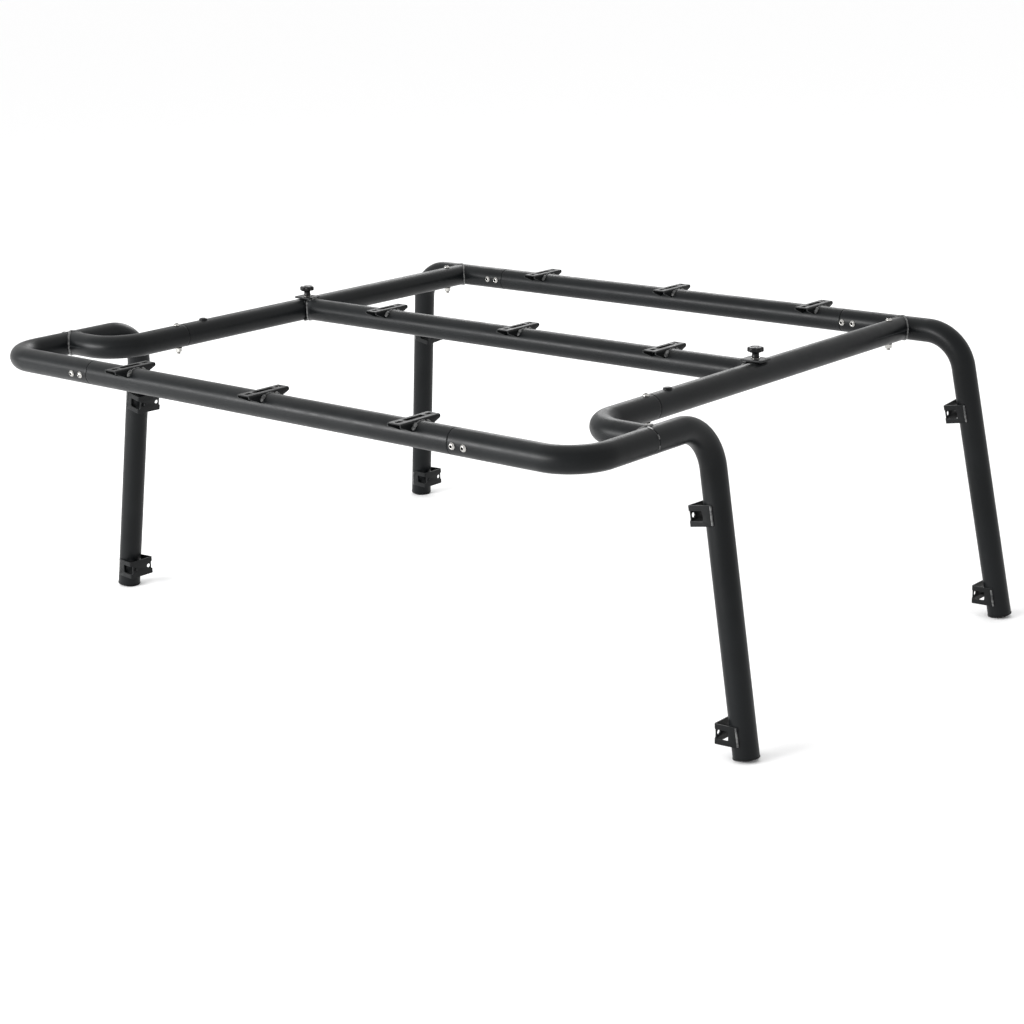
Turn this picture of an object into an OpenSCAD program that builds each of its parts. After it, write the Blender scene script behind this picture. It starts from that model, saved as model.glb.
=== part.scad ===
// Over-bed ladder rack: tubular front hoop and rear hoop joined by two side
// rails, with a sliding centre crossbar, tie-down cleats and bolt-on leg brackets.
// Units are millimetres. +Z is up, +Y runs from the front hoop to the rear hoop,
// and the origin is on the floor under the middle of the rack.

/* [Tube] */
// Outside diameter of every main tube
tube_od = 50.8; // [45:0.1:55]
// Wall thickness of the main tubes
tube_wall = 2; // [1.5:0.1:3]
// Gap left at each sleeved seam, where the inner sleeve shows
seam_gap = 1; // [0.6:0.1:2]

/* [Frame] */
// Height of the rail centre plane above the floor
rail_height = 629; // [560:1:720]
// Distance from the middle to each side rail
rail_x = 643; // [600:1:660]
// Distance from the middle to each front corner tube
corner_x = 794; // [780:1:830]
// Distance between the front and rear crossbars
bay = 1304; // [1200:1:1450]
// Distance from the middle to each front crossbar seam, before the sideways offset
seam_x = 503; // [480:1:520]
// Sideways offset of the front crossbar and its bolts
front_shift = 11; // [0:1:15]
// Distance from the middle to each rear crossbar seam
rear_seam_x = 495; // [480:1:520]
// Distance of the corner seam behind the front crossbar
corner_seam_y = 175; // [168:1:180]
// Distance of the rail connector tube behind the front crossbar
conn_y = 188; // [182:1:196]
// Distance of the side rail seam behind the front crossbar
rail_seam_y = 381; // [370:1:400]
// How far the right side's front joints sit behind these, and the left side's in front of them
side_shift = 16; // [0:1:18]

/* [Bends] */
// Centreline radius of the front corner bend
bend_corner = 80; // [70:1:95]
// Centreline radius of the front leg bend
bend_leg = 85; // [75:1:95]
// Centreline radius of the rear leg bend
bend_rear = 85; // [75:1:95]
// Centreline radius of the rail connector bend
bend_conn = 78; // [60:1:80]

/* [Legs] */
// Outward splay of the front legs in degrees
front_splay = 8.7; // [4:0.1:12]
// Rearward lean of the front legs in degrees
front_lean = -1.3; // [-4:0.1:4]
// Where the front leg line meets the rail plane, behind the front crossbar
front_leg_y = 369; // [355:1:400]
// Outward splay of the rear legs in degrees
rear_splay = 8.5; // [4:0.1:12]
// Rearward lean of the rear legs in degrees
rear_lean = 4.6; // [0:0.1:8]
// Where the rear leg line meets the rail plane, from the middle
rear_leg_x = 777; // [760:1:800]

/* [Centre crossbar] */
// Resting distance of the centre crossbar behind the front crossbar
centre_y = 748; // [640:1:1000]
// Width of the clamp plate along the rail
plate_w = 38; // [30:1:46]
// Diameter of the clamp knob head
knob_d = 33; // [28:1:40]
// Height of the clamp knob head
knob_h = 10; // [8:0.5:14]

/* [Cleats] */
// Length of each cleat along the vehicle
cleat_l = 104; // [96:1:120]
// Width of each cleat
cleat_w = 34; // [30:1:40]
// Distance of the outer cleats from the middle one
cleat_x = 395; // [350:1:410]
// Sideways offset of every cleat from the middle of the rack
cleat_shift = 18; // [-30:1:30]

/* [Brackets] */
// Width of the bracket mounting face
br_w = 66; // [60:1:76]
// Height of each bracket
br_h = 40; // [34:1:46]
// Distance from the leg centreline to the mounting face
br_reach = 44.5; // [40:0.5:52]
// Spacing of the two bolt holes in each bracket
br_holes = 40; // [34:1:44]
// Diameter of the bracket bolt holes
br_hole_d = 10; // [8:0.5:11]
// Height of the lower brackets above the floor
br_low_z = 50; // [42:1:80]
// Depth of the upper brackets below the rail plane, along the leg
br_up = 169; // [150:1:230]

/* [Hidden] */
$fn = 64;

R = tube_od / 2;
ri = R - tube_wall;
hg = seam_gap / 2;
black = [0.13, 0.135, 0.14];
zinc = [0.78, 0.78, 0.76];
plastic = [0.06, 0.06, 0.065];

// Leg cap: flange over the tube end and a plug inside it
cap_r = R + 0.6;
cap_t = 3;
cap_plug = 16;

// Front leg: unit direction, bend angle and lengths, seen in the splayed plane
f_dir = [sin(front_splay) * cos(front_lean), sin(front_lean), -cos(front_splay) * cos(front_lean)];
f_bend = 90 - front_lean;
f_t = bend_leg * tan(f_bend / 2);
f_y0 = round(front_leg_y - f_t);
f_y = f_y0 + f_t;
f_foot = cap_r * sqrt(1 - f_dir[2] * f_dir[2]);
f_len = (rail_height - f_foot) / -f_dir[2];
// Rear leg, seen in the leaned plane
r_dir = [sin(rear_splay), cos(rear_splay) * sin(rear_lean), -cos(rear_splay) * cos(rear_lean)];
r_bend = 90 - rear_splay;
r_t = bend_rear * tan(r_bend / 2);
r_x0 = round(rear_leg_x - r_t);
r_x = r_x0 + r_t;
r_foot = cap_r * sqrt(1 - r_dir[2] * r_dir[2]);
r_len = (rail_height - r_foot) / -r_dir[2];

// The frame is drawn from the front crossbar, then moved so the origin is under its middle
y_min = -cleat_l / 2;
y_max = bay + r_dir[1] * r_len + cap_r * sqrt(1 - r_dir[1] * r_dir[1]);
y_off = -(y_min + y_max) / 2;

// Bolt sizes, M8 button heads
b_r = 4;
b_head_r = 7;
b_head_h = 4.4;
bolt_drop = 4;
rail_end_bolt_y = bay - 62;

// Joint positions for one side: s is 1 on the right and -1 on the left
function f_seam(s) = seam_x + s * front_shift;
function f_bolts(s) = [f_seam(s) + 16 - 3 * s, f_seam(s) + 43 - 3 * s];
function r_bolts(s) = [rear_seam_x + 12 - 4.5 * s, rear_seam_x + 39 - 4.5 * s];
function corner_seam(s) = corner_seam_y + s * side_shift;
function conn(s) = conn_y + s * side_shift;
function rail_seam(s) = rail_seam_y + s * side_shift;
function rail_bolt(s) = rail_seam(s) - 14;
function stop(s) = rail_seam_y + 58 + s * 11;

// Sleeves
sl_r = ri - 0.2;
sl_wall = 2.6;
sl_len = 110;

// Centre crossbar end pieces
saddle_in = R + 0.5;
saddle_out = R + 3.5;
saddle_w = 44;
plate_in = rail_x - 30;
plate_out = rail_x + 19;
plate_z = R + 0.4;
plate_t = 4;
knob_x = rail_x - 6;
stud_r = 4.2;
washer_t = 1.5;
stem_h = 12;

module place() { translate([0, y_off, rail_height]) children(); }
module left() { mirror([1, 0, 0]) children(); }

module ring2() { difference() { circle(R); circle(ri); } }
module tube(l) { linear_extrude(l) ring2(); }
// Straight run of a bent tube, a hair thinner so that its end sits inside the bend's wall
module run(l) { linear_extrude(l + 0.5) difference() { circle(R - 0.1); circle(ri + 0.1); } }
module bend(r, a) { rotate_extrude(angle = a, $fn = 96) translate([r, 0]) ring2(); }

// Bolt with a domed button head, shank pointing along -Z from the head's seat
module button_bolt(l) {
  difference() {
    union() {
      rotate_extrude() polygon([[0, 0], [b_head_r, 0], [b_head_r, 0.9], [6.4, 2.2], [5.2, 3.4], [3.9, 4.1], [2.9, b_head_h], [0, b_head_h]]);
      translate([0, 0, -l]) cylinder(r = b_r, h = l);
    }
    translate([0, 0, b_head_h - 2.6]) cylinder(r = 2.9, h = 3, $fn = 6);
  }
}

/* Crossbars */
module crossbar_bolt_holes(xs, drop, r) {
  for (x = xs) translate([x, 0, 0]) rotate([drop, 0, 0]) rotate([90, 0, 0]) cylinder(r = r, h = R + 10);
}
module front_crossbar() {
  color(black) place() translate([-f_seam(-1) + hg, 0, 0]) rotate([0, 90, 0]) tube(f_seam(-1) + f_seam(1) - seam_gap);
}
module rear_crossbar() {
  color(black) place() translate([-rear_seam_x + hg, bay, 0]) rotate([0, 90, 0]) tube(2 * rear_seam_x - seam_gap);
}

/* Front hoop */
module front_corner(s) {
  difference() {
    union() {
      translate([f_seam(s) + hg, 0, 0]) rotate([0, 90, 0]) tube(corner_x - bend_corner - f_seam(s) - hg);
      translate([corner_x - bend_corner, bend_corner, 0]) rotate([0, 0, -90]) bend(bend_corner, 90);
      translate([corner_x, bend_corner, 0]) rotate([-90, 0, 0]) tube(corner_seam(s) - hg - bend_corner);
    }
    crossbar_bolt_holes(f_bolts(s), bolt_drop, b_r + 0.4);
  }
}
module front_corner_left() { color(black) place() left() front_corner(-1); }
module front_corner_right() { color(black) place() front_corner(1); }

module front_leg(s) {
  translate([corner_x, 0, 0]) rotate([0, -front_splay, 0]) {
    translate([0, corner_seam(s) + hg, 0]) rotate([-90, 0, 0]) run(f_y0 - corner_seam(s) - hg);
    translate([0, f_y0, -bend_leg]) {
      rotate([0, -90, 0]) bend(bend_leg, f_bend);
      rotate([-f_bend, 0, 0]) translate([0, -0.5, bend_leg]) rotate([-90, 0, 0]) run(f_len - f_t - cap_t);
    }
  }
}
module front_leg_left() { color(black) place() left() front_leg(-1); }
module front_leg_right() { color(black) place() front_leg(1); }

/* Side rails */
module rail_connector(s) {
  difference() {
    union() {
      translate([rail_x + bend_conn, conn(s), 0]) rotate([0, 90, 0]) tube(corner_x - rail_x - bend_conn);
      translate([rail_x + bend_conn, conn(s) + bend_conn, 0]) rotate([0, 0, 180]) bend(bend_conn, 90);
      translate([rail_x, conn(s) + bend_conn, 0]) rotate([-90, 0, 0]) tube(rail_seam(s) - hg - conn(s) - bend_conn);
    }
    translate([corner_x, 0, 0]) rotate([-90, 0, 0]) cylinder(r = R + 0.1, h = 300);
    translate([rail_x, rail_bolt(s), -40]) cylinder(r = b_r + 0.4, h = 80);
  }
}
module rail_connector_left() { color(black) place() left() rail_connector(-1); }
module rail_connector_right() { color(black) place() rail_connector(1); }

module side_rail(s) {
  difference() {
    translate([rail_x, rail_seam(s) + hg, 0]) rotate([-90, 0, 0]) tube(bay - rail_seam(s) - hg);
    translate([rail_x - 60, bay, 0]) rotate([0, 90, 0]) cylinder(r = R + 0.1, h = 120);
    translate([rail_x, rail_end_bolt_y, -40]) cylinder(r = b_r + 0.4, h = 80);
    translate([rail_x, stop(s), 0]) cylinder(r = 5, h = 40);
  }
}
module side_rail_left() { color(black) place() left() side_rail(-1); }
module side_rail_right() { color(black) place() side_rail(1); }

/* Rear hoop */
module rear_leg(s) {
  difference() {
    translate([0, bay, 0]) rotate([rear_lean, 0, 0]) {
      translate([rear_seam_x + hg, 0, 0]) rotate([0, 90, 0]) run(r_x0 - rear_seam_x - hg);
      translate([r_x0, 0, -bend_rear]) {
        rotate([0, 0, -90]) rotate([0, -90, 0]) bend(bend_rear, r_bend);
        rotate([0, r_bend, 0]) translate([-0.5, 0, bend_rear]) rotate([0, 90, 0]) run(r_len - r_t - cap_t);
      }
    }
    translate([0, bay, 0]) crossbar_bolt_holes(r_bolts(s), 0, b_r + 0.4);
  }
}
module rear_leg_left() { color(black) place() left() rear_leg(-1); }
module rear_leg_right() { color(black) place() rear_leg(1); }

/* Inner sleeves and spigots */
module sleeve2() { difference() { circle(sl_r); circle(sl_r - sl_wall); } }
module crossbar_sleeve(seam, xs, drop) {
  difference() {
    union() {
      translate([seam - sl_len / 2, 0, 0]) rotate([0, 90, 0]) linear_extrude(sl_len) sleeve2();
      for (x = xs)
        translate([x, 0, 0]) rotate([drop, 0, 0]) rotate([90, 0, 0]) translate([0, 0, 13]) cylinder(r = 7.5, h = sl_r - 13.6, $fn = 6);
    }
    crossbar_bolt_holes(xs, drop, b_r + 0.1);
  }
}
module crossbar_sleeves() {
  color(zinc) place() {
    crossbar_sleeve(f_seam(1), f_bolts(1), bolt_drop);
    left() crossbar_sleeve(f_seam(-1), f_bolts(-1), bolt_drop);
    translate([0, bay, 0]) crossbar_sleeve(rear_seam_x, r_bolts(1), 0);
    left() translate([0, bay, 0]) crossbar_sleeve(rear_seam_x, r_bolts(-1), 0);
  }
}
module corner_sleeve(s) {
  translate([corner_x, corner_seam(s) - 40, 0]) rotate([-90, 0, 0]) linear_extrude(80) sleeve2();
}
module corner_sleeves() { color(zinc) place() { corner_sleeve(1); left() corner_sleeve(-1); } }
module rail_sleeve(s) {
  difference() {
    translate([rail_x, rail_seam(s) - sl_len / 2, 0]) rotate([-90, 0, 0]) linear_extrude(sl_len + 25) sleeve2();
    translate([rail_x, rail_bolt(s), -40]) cylinder(r = b_r + 0.4, h = 80);
    translate([rail_x, stop(s), 0]) cylinder(r = 5, h = 40);
  }
}
module rail_sleeves() { color(zinc) place() { rail_sleeve(1); left() rail_sleeve(-1); } }
module rail_spigot() {
  difference() {
    translate([rail_x, bay - 100, 0]) rotate([-90, 0, 0]) linear_extrude(100) sleeve2();
    translate([rail_x - 60, bay, 0]) rotate([0, 90, 0]) cylinder(r = R + 0.1, h = 120);
    translate([rail_x, rail_end_bolt_y, -40]) cylinder(r = b_r + 0.4, h = 80);
  }
}
module rail_end_spigots() { color(zinc) place() { rail_spigot(); left() rail_spigot(); } }

/* Fasteners */
module crossbar_bolt_pair(xs, drop) {
  for (x = xs)
    translate([x, 0, 0]) rotate([drop, 0, 0]) rotate([90, 0, 0]) translate([0, 0, R + 0.05]) button_bolt(14);
}
module crossbar_bolts_front() {
  color(zinc) place() { crossbar_bolt_pair(f_bolts(1), bolt_drop); left() crossbar_bolt_pair(f_bolts(-1), bolt_drop); }
}
module crossbar_bolts_rear() {
  color(zinc) place() translate([0, bay, 0]) { crossbar_bolt_pair(r_bolts(1), 0); left() crossbar_bolt_pair(r_bolts(-1), 0); }
}
module rail_bolt_set(s) {
  for (y = [rail_bolt(s), rail_end_bolt_y]) translate([rail_x, y, R + 0.05]) button_bolt(tube_od + 14);
}
module rail_bolts() { color(zinc) place() { rail_bolt_set(1); left() rail_bolt_set(-1); } }
module rail_nut_set(s) {
  for (y = [rail_bolt(s), rail_end_bolt_y]) translate([rail_x, y, -R - 9.1]) difference() {
    union() {
      cylinder(r = 7.5, h = 9, $fn = 6);
      translate([0, 0, 7.6]) cylinder(r = 8.4, h = 1.4);
    }
    translate([0, 0, -1]) cylinder(r = b_r + 0.05, h = 12);
  }
}
module rail_nuts() { color(zinc) place() { rail_nut_set(1); left() rail_nut_set(-1); } }
module rail_stop(s) {
  translate([rail_x, stop(s), 0]) difference() {
    rotate_extrude() polygon([[0, R - 8], [4.8, R - 8], [4.8, R - 3], [9.2, R - 3], [9.2, R + 1.4], [8.2, R + 2.8], [6, R + 3.8], [3.5, R + 4.2], [0, R + 4.2]]);
    difference() {
      translate([0, -20, 0]) rotate([-90, 0, 0]) cylinder(r = R + 0.05, h = 40);
      cylinder(r = 4.8, h = 60);
    }
  }
}
module rail_stop_buttons() { color(plastic) place() { rail_stop(1); left() rail_stop(-1); } }

/* Centre crossbar */
module centre() { translate([0, centre_y, 0]) children(); }
module centre_crossbar() {
  color(black) place() centre() difference() {
    translate([-rail_x, 0, 0]) rotate([0, 90, 0]) tube(2 * rail_x);
    for (s = [-1, 1]) translate([s * rail_x, -60, 0]) rotate([-90, 0, 0]) cylinder(r = saddle_out + 0.05, h = 120);
  }
}
module saddle() {
  translate([rail_x, -saddle_w / 2, 0]) rotate([-90, 0, 0]) rotate([0, 0, 114]) rotate_extrude(angle = 124, $fn = 96)
    translate([saddle_in, 0]) square([saddle_out - saddle_in, saddle_w]);
}
module rail_saddles() { color(black) place() centre() { saddle(); left() saddle(); } }
module clamp_plate() {
  difference() {
    translate([plate_in, -plate_w / 2, plate_z]) cube([plate_out - plate_in, plate_w, plate_t]);
    translate([knob_x, 0, plate_z - 1]) cylinder(r = stud_r + 0.05, h = plate_t + 2);
  }
}
module clamp_plates() { color(black) place() centre() { clamp_plate(); left() clamp_plate(); } }
module knob_washer() {
  translate([knob_x, 0, plate_z + plate_t]) difference() {
    cylinder(r = 9, h = washer_t);
    translate([0, 0, -1]) cylinder(r = stud_r + 0.05, h = washer_t + 2);
  }
}
module knob_washers() { color(zinc) place() centre() { knob_washer(); left() knob_washer(); } }
module knob() {
  z0 = plate_z + plate_t + washer_t + 0.1;
  translate([knob_x, 0, z0]) difference() {
    union() {
      rotate_extrude() polygon([[0, 0], [7.6, 0], [8.2, 1.2], [8, stem_h], [0, stem_h]]);
      translate([0, 0, stem_h]) difference() {
        rotate_extrude() polygon([[0, 0], [knob_d / 2 - 1.5, 0], [knob_d / 2, 1.6], [knob_d / 2, knob_h - 2], [knob_d / 2 - 2, knob_h], [0, knob_h]]);
        for (a = [0:60:300]) rotate([0, 0, a]) translate([knob_d / 2 + 3.6, 0, -1]) cylinder(r = 5.6, h = knob_h + 2);
      }
    }
    translate([0, 0, -1]) cylinder(r = stud_r, h = stem_h + 5);
  }
}
module knob_left() { color(plastic) place() centre() left() knob(); }
module knob_right() { color(plastic) place() centre() knob(); }
module knob_stud() {
  z0 = R + 0.35;
  z1 = plate_z + plate_t + washer_t + 0.1 + stem_h + 4;
  translate([knob_x, 0, z0]) cylinder(r = stud_r, h = z1 - z0);
}
module knob_stud_left() { color(zinc) place() centre() left() knob_stud(); }
module knob_stud_right() { color(zinc) place() centre() knob_stud(); }

/* Cleats */
cl_t = 2.5;
cl_top = R + 2.7;
module weld_lump(a) {
  // fillet weld between a cleat wall and the tube, a short ring segment around the tube
  rotate([0, 90, 0]) rotate([0, 0, a]) rotate_extrude(angle = 36)
    polygon([[R - 0.5, cleat_w / 2 - 0.5], [R + 6.5, cleat_w / 2 - 0.5], [R + 6, cleat_w / 2 + 3], [R + 3.5, cleat_w / 2 + 6.5], [R - 0.5, cleat_w / 2 + 8]]);
}
module cleat() {
  h = cleat_l / 2;
  difference() {
    union() {
      translate([-cleat_w / 2, -h, cl_top - cl_t]) cube([cleat_w, cleat_l, cl_t]);
      for (s = [0, 1]) mirror([s, 0, 0]) {
        translate([cleat_w / 2 - cl_t, 0, 0]) rotate([90, 0, 90]) linear_extrude(cl_t)
          polygon([[-h, cl_top], [-h, cl_top - 5.5], [-23.5, 9.5], [23.5, 9.5], [h, cl_top - 5.5], [h, cl_top]]);
        weld_lump(206);
        weld_lump(118);
      }
    }
    rotate([0, 90, 0]) translate([0, 0, -50]) cylinder(r = R + 0.1, h = 100);
    translate([-6, -26, cl_top - 6]) cube([12, 52, 10]);
    for (s = [-1, 1]) translate([-4.5, s * 38.5 - 7.5, cl_top - 6]) cube([9, 15, 10]);
  }
}
module cleat_at(x, y) { color(black) place() translate([x + cleat_shift, y, 0]) cleat(); }
module cleat_front_left() { cleat_at(-cleat_x, 0); }
module cleat_front_middle() { cleat_at(0, 0); }
module cleat_front_right() { cleat_at(cleat_x, 0); }
module cleat_centre_left() { cleat_at(-cleat_x, centre_y); }
module cleat_centre_middle() { cleat_at(0, centre_y); }
module cleat_centre_right() { cleat_at(cleat_x, centre_y); }
module cleat_rear_left() { cleat_at(-cleat_x, bay); }
module cleat_rear_middle() { cleat_at(0, bay); }
module cleat_rear_right() { cleat_at(cleat_x, bay); }

/* Leg brackets: a bent channel that wraps the leg's inboard side, drawn for the
   right-hand side, where inboard is -X */
module bracket_channel() {
  w = br_w / 2;
  t = 3;
  difference() {
    translate([0, 0, -br_h / 2]) linear_extrude(br_h) difference() {
      polygon([[5, -R - 1.7], [-br_reach, -w], [-br_reach, w], [5, R + 1.7]]);
      polygon([[8, -R + 1.2], [-br_reach + t, -w + t], [-br_reach + t, w - t], [8, R - 1.2]]);
    }
    for (s = [0, 1]) mirror([0, s, 0]) {
      translate([-br_reach - 1, w - 5.5, -9.5]) cube([31, 12, 19]);
      translate([-br_reach - 1, br_holes / 2, 0]) rotate([0, 90, 0]) cylinder(r = br_hole_d / 2, h = t + 2);
    }
  }
}
// Leg line at a depth below the rail plane, and the leg as a cutter
function f_at(s) = [corner_x + f_dir[0] * s, f_y + f_dir[1] * s, f_dir[2] * s];
function r_at(s) = [r_x + r_dir[0] * s, bay + r_dir[1] * s, r_dir[2] * s];
module f_frame() { rotate([0, -front_splay, 0]) rotate([front_lean, 0, 0]) children(); }
module r_frame() { rotate([rear_lean, 0, 0]) rotate([0, -rear_splay, 0]) children(); }
module cutter() { translate([0, 0, -60]) cylinder(r = R + 0.1, h = 120); }

module bracket_front_upper() {
  translate(f_at(br_up)) f_frame() difference() { bracket_channel(); cutter(); }
}
module bracket_front_lower() {
  s = (rail_height - br_low_z) / -f_dir[2];
  translate(f_at(s)) difference() { bracket_channel(); f_frame() cutter(); }
}
module bracket_rear_upper() {
  translate(r_at(br_up)) r_frame() difference() { bracket_channel(); cutter(); }
}
module bracket_rear_lower() {
  s = (rail_height - br_low_z) / -r_dir[2];
  translate(r_at(s)) difference() { bracket_channel(); r_frame() cutter(); }
}
module bracket_front_left_upper() { color(black) place() left() bracket_front_upper(); }
module bracket_front_left_lower() { color(black) place() left() bracket_front_lower(); }
module bracket_front_right_upper() { color(black) place() bracket_front_upper(); }
module bracket_front_right_lower() { color(black) place() bracket_front_lower(); }
module bracket_rear_left_upper() { color(black) place() left() bracket_rear_upper(); }
module bracket_rear_left_lower() { color(black) place() left() bracket_rear_lower(); }
module bracket_rear_right_upper() { color(black) place() bracket_rear_upper(); }
module bracket_rear_right_lower() { color(black) place() bracket_rear_lower(); }

/* Leg caps */
module cap() {
  rotate_extrude() polygon([[0, 0], [cap_r, 0], [cap_r, cap_t - 0.05], [sl_r, cap_t - 0.05], [sl_r, cap_plug], [sl_r - 3, cap_plug], [sl_r - 3, cap_t], [0, cap_t]]);
}
module leg_cap_front() { translate(f_at(f_len)) f_frame() cap(); }
module leg_cap_rear() { translate(r_at(r_len)) r_frame() cap(); }
module leg_cap_front_left() { color(plastic) place() left() leg_cap_front(); }
module leg_cap_front_right() { color(plastic) place() leg_cap_front(); }
module leg_cap_rear_left() { color(plastic) place() left() leg_cap_rear(); }
module leg_cap_rear_right() { color(plastic) place() leg_cap_rear(); }

front_crossbar();
front_corner_left();
front_corner_right();
front_leg_left();
front_leg_right();
rail_connector_left();
rail_connector_right();
side_rail_left();
side_rail_right();
rear_crossbar();
rear_leg_left();
rear_leg_right();
crossbar_sleeves();
corner_sleeves();
rail_sleeves();
rail_end_spigots();
crossbar_bolts_front();
crossbar_bolts_rear();
rail_bolts();
rail_nuts();
rail_stop_buttons();
centre_crossbar();
rail_saddles();
clamp_plates();
knob_washers();
knob_left();
knob_right();
knob_stud_left();
knob_stud_right();
cleat_front_left();
cleat_front_middle();
cleat_front_right();
cleat_centre_left();
cleat_centre_middle();
cleat_centre_right();
cleat_rear_left();
cleat_rear_middle();
cleat_rear_right();
bracket_front_left_upper();
bracket_front_left_lower();
bracket_front_right_upper();
bracket_front_right_lower();
bracket_rear_left_upper();
bracket_rear_left_lower();
bracket_rear_right_upper();
bracket_rear_right_lower();
leg_cap_front_left();
leg_cap_front_right();
leg_cap_rear_left();
leg_cap_rear_right();
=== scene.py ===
import bpy, bmesh, math
from mathutils import Vector, Matrix, noise

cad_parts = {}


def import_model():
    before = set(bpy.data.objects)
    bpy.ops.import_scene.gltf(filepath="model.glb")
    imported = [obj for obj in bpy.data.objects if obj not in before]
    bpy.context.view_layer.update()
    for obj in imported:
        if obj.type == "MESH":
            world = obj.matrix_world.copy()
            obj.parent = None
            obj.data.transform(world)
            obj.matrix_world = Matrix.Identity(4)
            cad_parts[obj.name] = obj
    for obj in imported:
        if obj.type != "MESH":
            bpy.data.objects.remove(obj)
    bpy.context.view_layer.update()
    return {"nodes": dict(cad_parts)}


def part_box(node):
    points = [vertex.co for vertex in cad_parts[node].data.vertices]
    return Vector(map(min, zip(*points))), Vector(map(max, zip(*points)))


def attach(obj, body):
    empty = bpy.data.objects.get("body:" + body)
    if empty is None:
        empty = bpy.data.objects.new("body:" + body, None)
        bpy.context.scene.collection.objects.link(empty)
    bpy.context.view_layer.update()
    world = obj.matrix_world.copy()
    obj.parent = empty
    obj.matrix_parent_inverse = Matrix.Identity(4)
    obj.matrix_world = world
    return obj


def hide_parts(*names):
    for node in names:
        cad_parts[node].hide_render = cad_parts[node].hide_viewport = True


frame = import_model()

V = Vector
SC = bpy.context.scene
rad = math.radians


def span(n, ax):
    lo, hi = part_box(n)
    return lo[ax] * 1000, hi[ax] * 1000


def mid(n, ax):
    a, b = span(n, ax)
    return (a + b) / 2


# ---------------------------------------------------------------- sizes, mm, in the rack's own axes
# x from the middle, y behind the front crossbar, z above the rail plane
H, Y0 = mid("front_crossbar", 2), mid("front_crossbar", 1)
R = (span("front_crossbar", 2)[1] - span("front_crossbar", 2)[0]) / 2
RI = R - 2.0
GAP = 0.5
SEAM = {1: span("front_crossbar", 0)[1] + GAP, -1: -span("front_crossbar", 0)[0] + GAP}
REAR_SEAM = span("rear_crossbar", 0)[1] + GAP
BAY = mid("rear_crossbar", 1) - Y0
YC = mid("centre_crossbar", 1) - Y0
RAIL_X = mid("side_rail_right", 0)
CORNER_X = span("front_corner_right", 0)[1] - R
RAIL_SEAM = {1: span("side_rail_right", 1)[0] - Y0 - GAP, -1: span("side_rail_left", 1)[0] - Y0 - GAP}
SHIFT = (RAIL_SEAM[1] - RAIL_SEAM[-1]) / 2
CORNER_SEAM = {s: 175.0 + s * SHIFT for s in (-1, 1)}
CONN_Y = {s: 188.0 + s * SHIFT for s in (-1, 1)}
RAIL_BOLT = {s: RAIL_SEAM[s] - 14 for s in (-1, 1)}
STOP_Y = {s: 439.0 + 11 * s for s in (-1, 1)}
F_BOLTS = {s: (SEAM[s] + 16 - 3 * s, SEAM[s] + 43 - 3 * s) for s in (-1, 1)}
R_BOLTS = {s: (REAR_SEAM + 12 - 4.5 * s, REAR_SEAM + 39 - 4.5 * s) for s in (-1, 1)}
B_CORNER, B_LEG, B_REAR, B_CONN = 80.0, 85.0, 85.0, 78.0
F_SPLAY, F_LEAN, R_SPLAY, R_LEAN = 8.7, -1.3, 8.5, 4.6
FY = round(369 - B_LEG * math.tan(rad(90 - F_LEAN) / 2)) + B_LEG * math.tan(rad(90 - F_LEAN) / 2)
RX = round(777 - B_REAR * math.tan(rad(90 - R_SPLAY) / 2)) + B_REAR * math.tan(rad(90 - R_SPLAY) / 2)
CAP_R, CAP_T = R + 0.6, 3.0
F_ROT = Matrix.Rotation(rad(-F_SPLAY), 3, "Y") @ Matrix.Rotation(rad(F_LEAN), 3, "X")
R_ROT = Matrix.Rotation(rad(R_LEAN), 3, "X") @ Matrix.Rotation(rad(-R_SPLAY), 3, "Y")
F_DIR = F_ROT @ V((0, 0, -1))
R_DIR = R_ROT @ V((0, 0, -1))
F_TOP, R_TOP = V((CORNER_X, FY, 0)), V((RX, BAY, 0))
F_LEN = (H - CAP_R * math.sqrt(1 - F_DIR.z ** 2)) / -F_DIR.z
R_LEN = (H - CAP_R * math.sqrt(1 - R_DIR.z ** 2)) / -R_DIR.z


def world(p):
    return V((p[0] * 0.001, (p[1] + Y0) * 0.001, (p[2] + H) * 0.001))


# ---------------------------------------------------------------- materials
def nodes_of(m):
    m.use_nodes = True
    nt = m.node_tree
    return nt, nt.nodes["Principled BSDF"]


def link(nt, a, ao, b, bi):
    nt.links.new(a.outputs[ao], b.inputs[bi])


def noise_node(nt, tc, scale, detail=3.0, rough=0.55, stretch=None):
    n = nt.nodes.new("ShaderNodeTexNoise")
    n.inputs["Scale"].default_value = scale
    n.inputs["Detail"].default_value = detail
    n.inputs["Roughness"].default_value = rough
    if stretch:
        mp = nt.nodes.new("ShaderNodeMapping")
        mp.inputs["Scale"].default_value = stretch
        link(nt, tc, "Object", mp, "Vector")
        link(nt, mp, "Vector", n, "Vector")
    else:
        link(nt, tc, "Object", n, "Vector")
    return n


def ramp(nt, src, out, p0, p1, c0, c1):
    r = nt.nodes.new("ShaderNodeMapRange")
    r.inputs["From Min"].default_value = p0
    r.inputs["From Max"].default_value = p1
    r.inputs["To Min"].default_value = c0
    r.inputs["To Max"].default_value = c1
    r.interpolation_type = "SMOOTHSTEP"
    link(nt, src, out, r, "Value")
    return r


def mixc(nt, fac_node, fac_out, a, b):
    m = nt.nodes.new("ShaderNodeMix")
    m.data_type = "RGBA"
    if fac_node is not None:
        link(nt, fac_node, fac_out, m, 0)
    for i, c in ((6, a), (7, b)):
        if isinstance(c, tuple):
            m.inputs[i].default_value = (*c, 1)
        else:
            nt.links.new(c, m.inputs[i])
    return m


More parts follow.
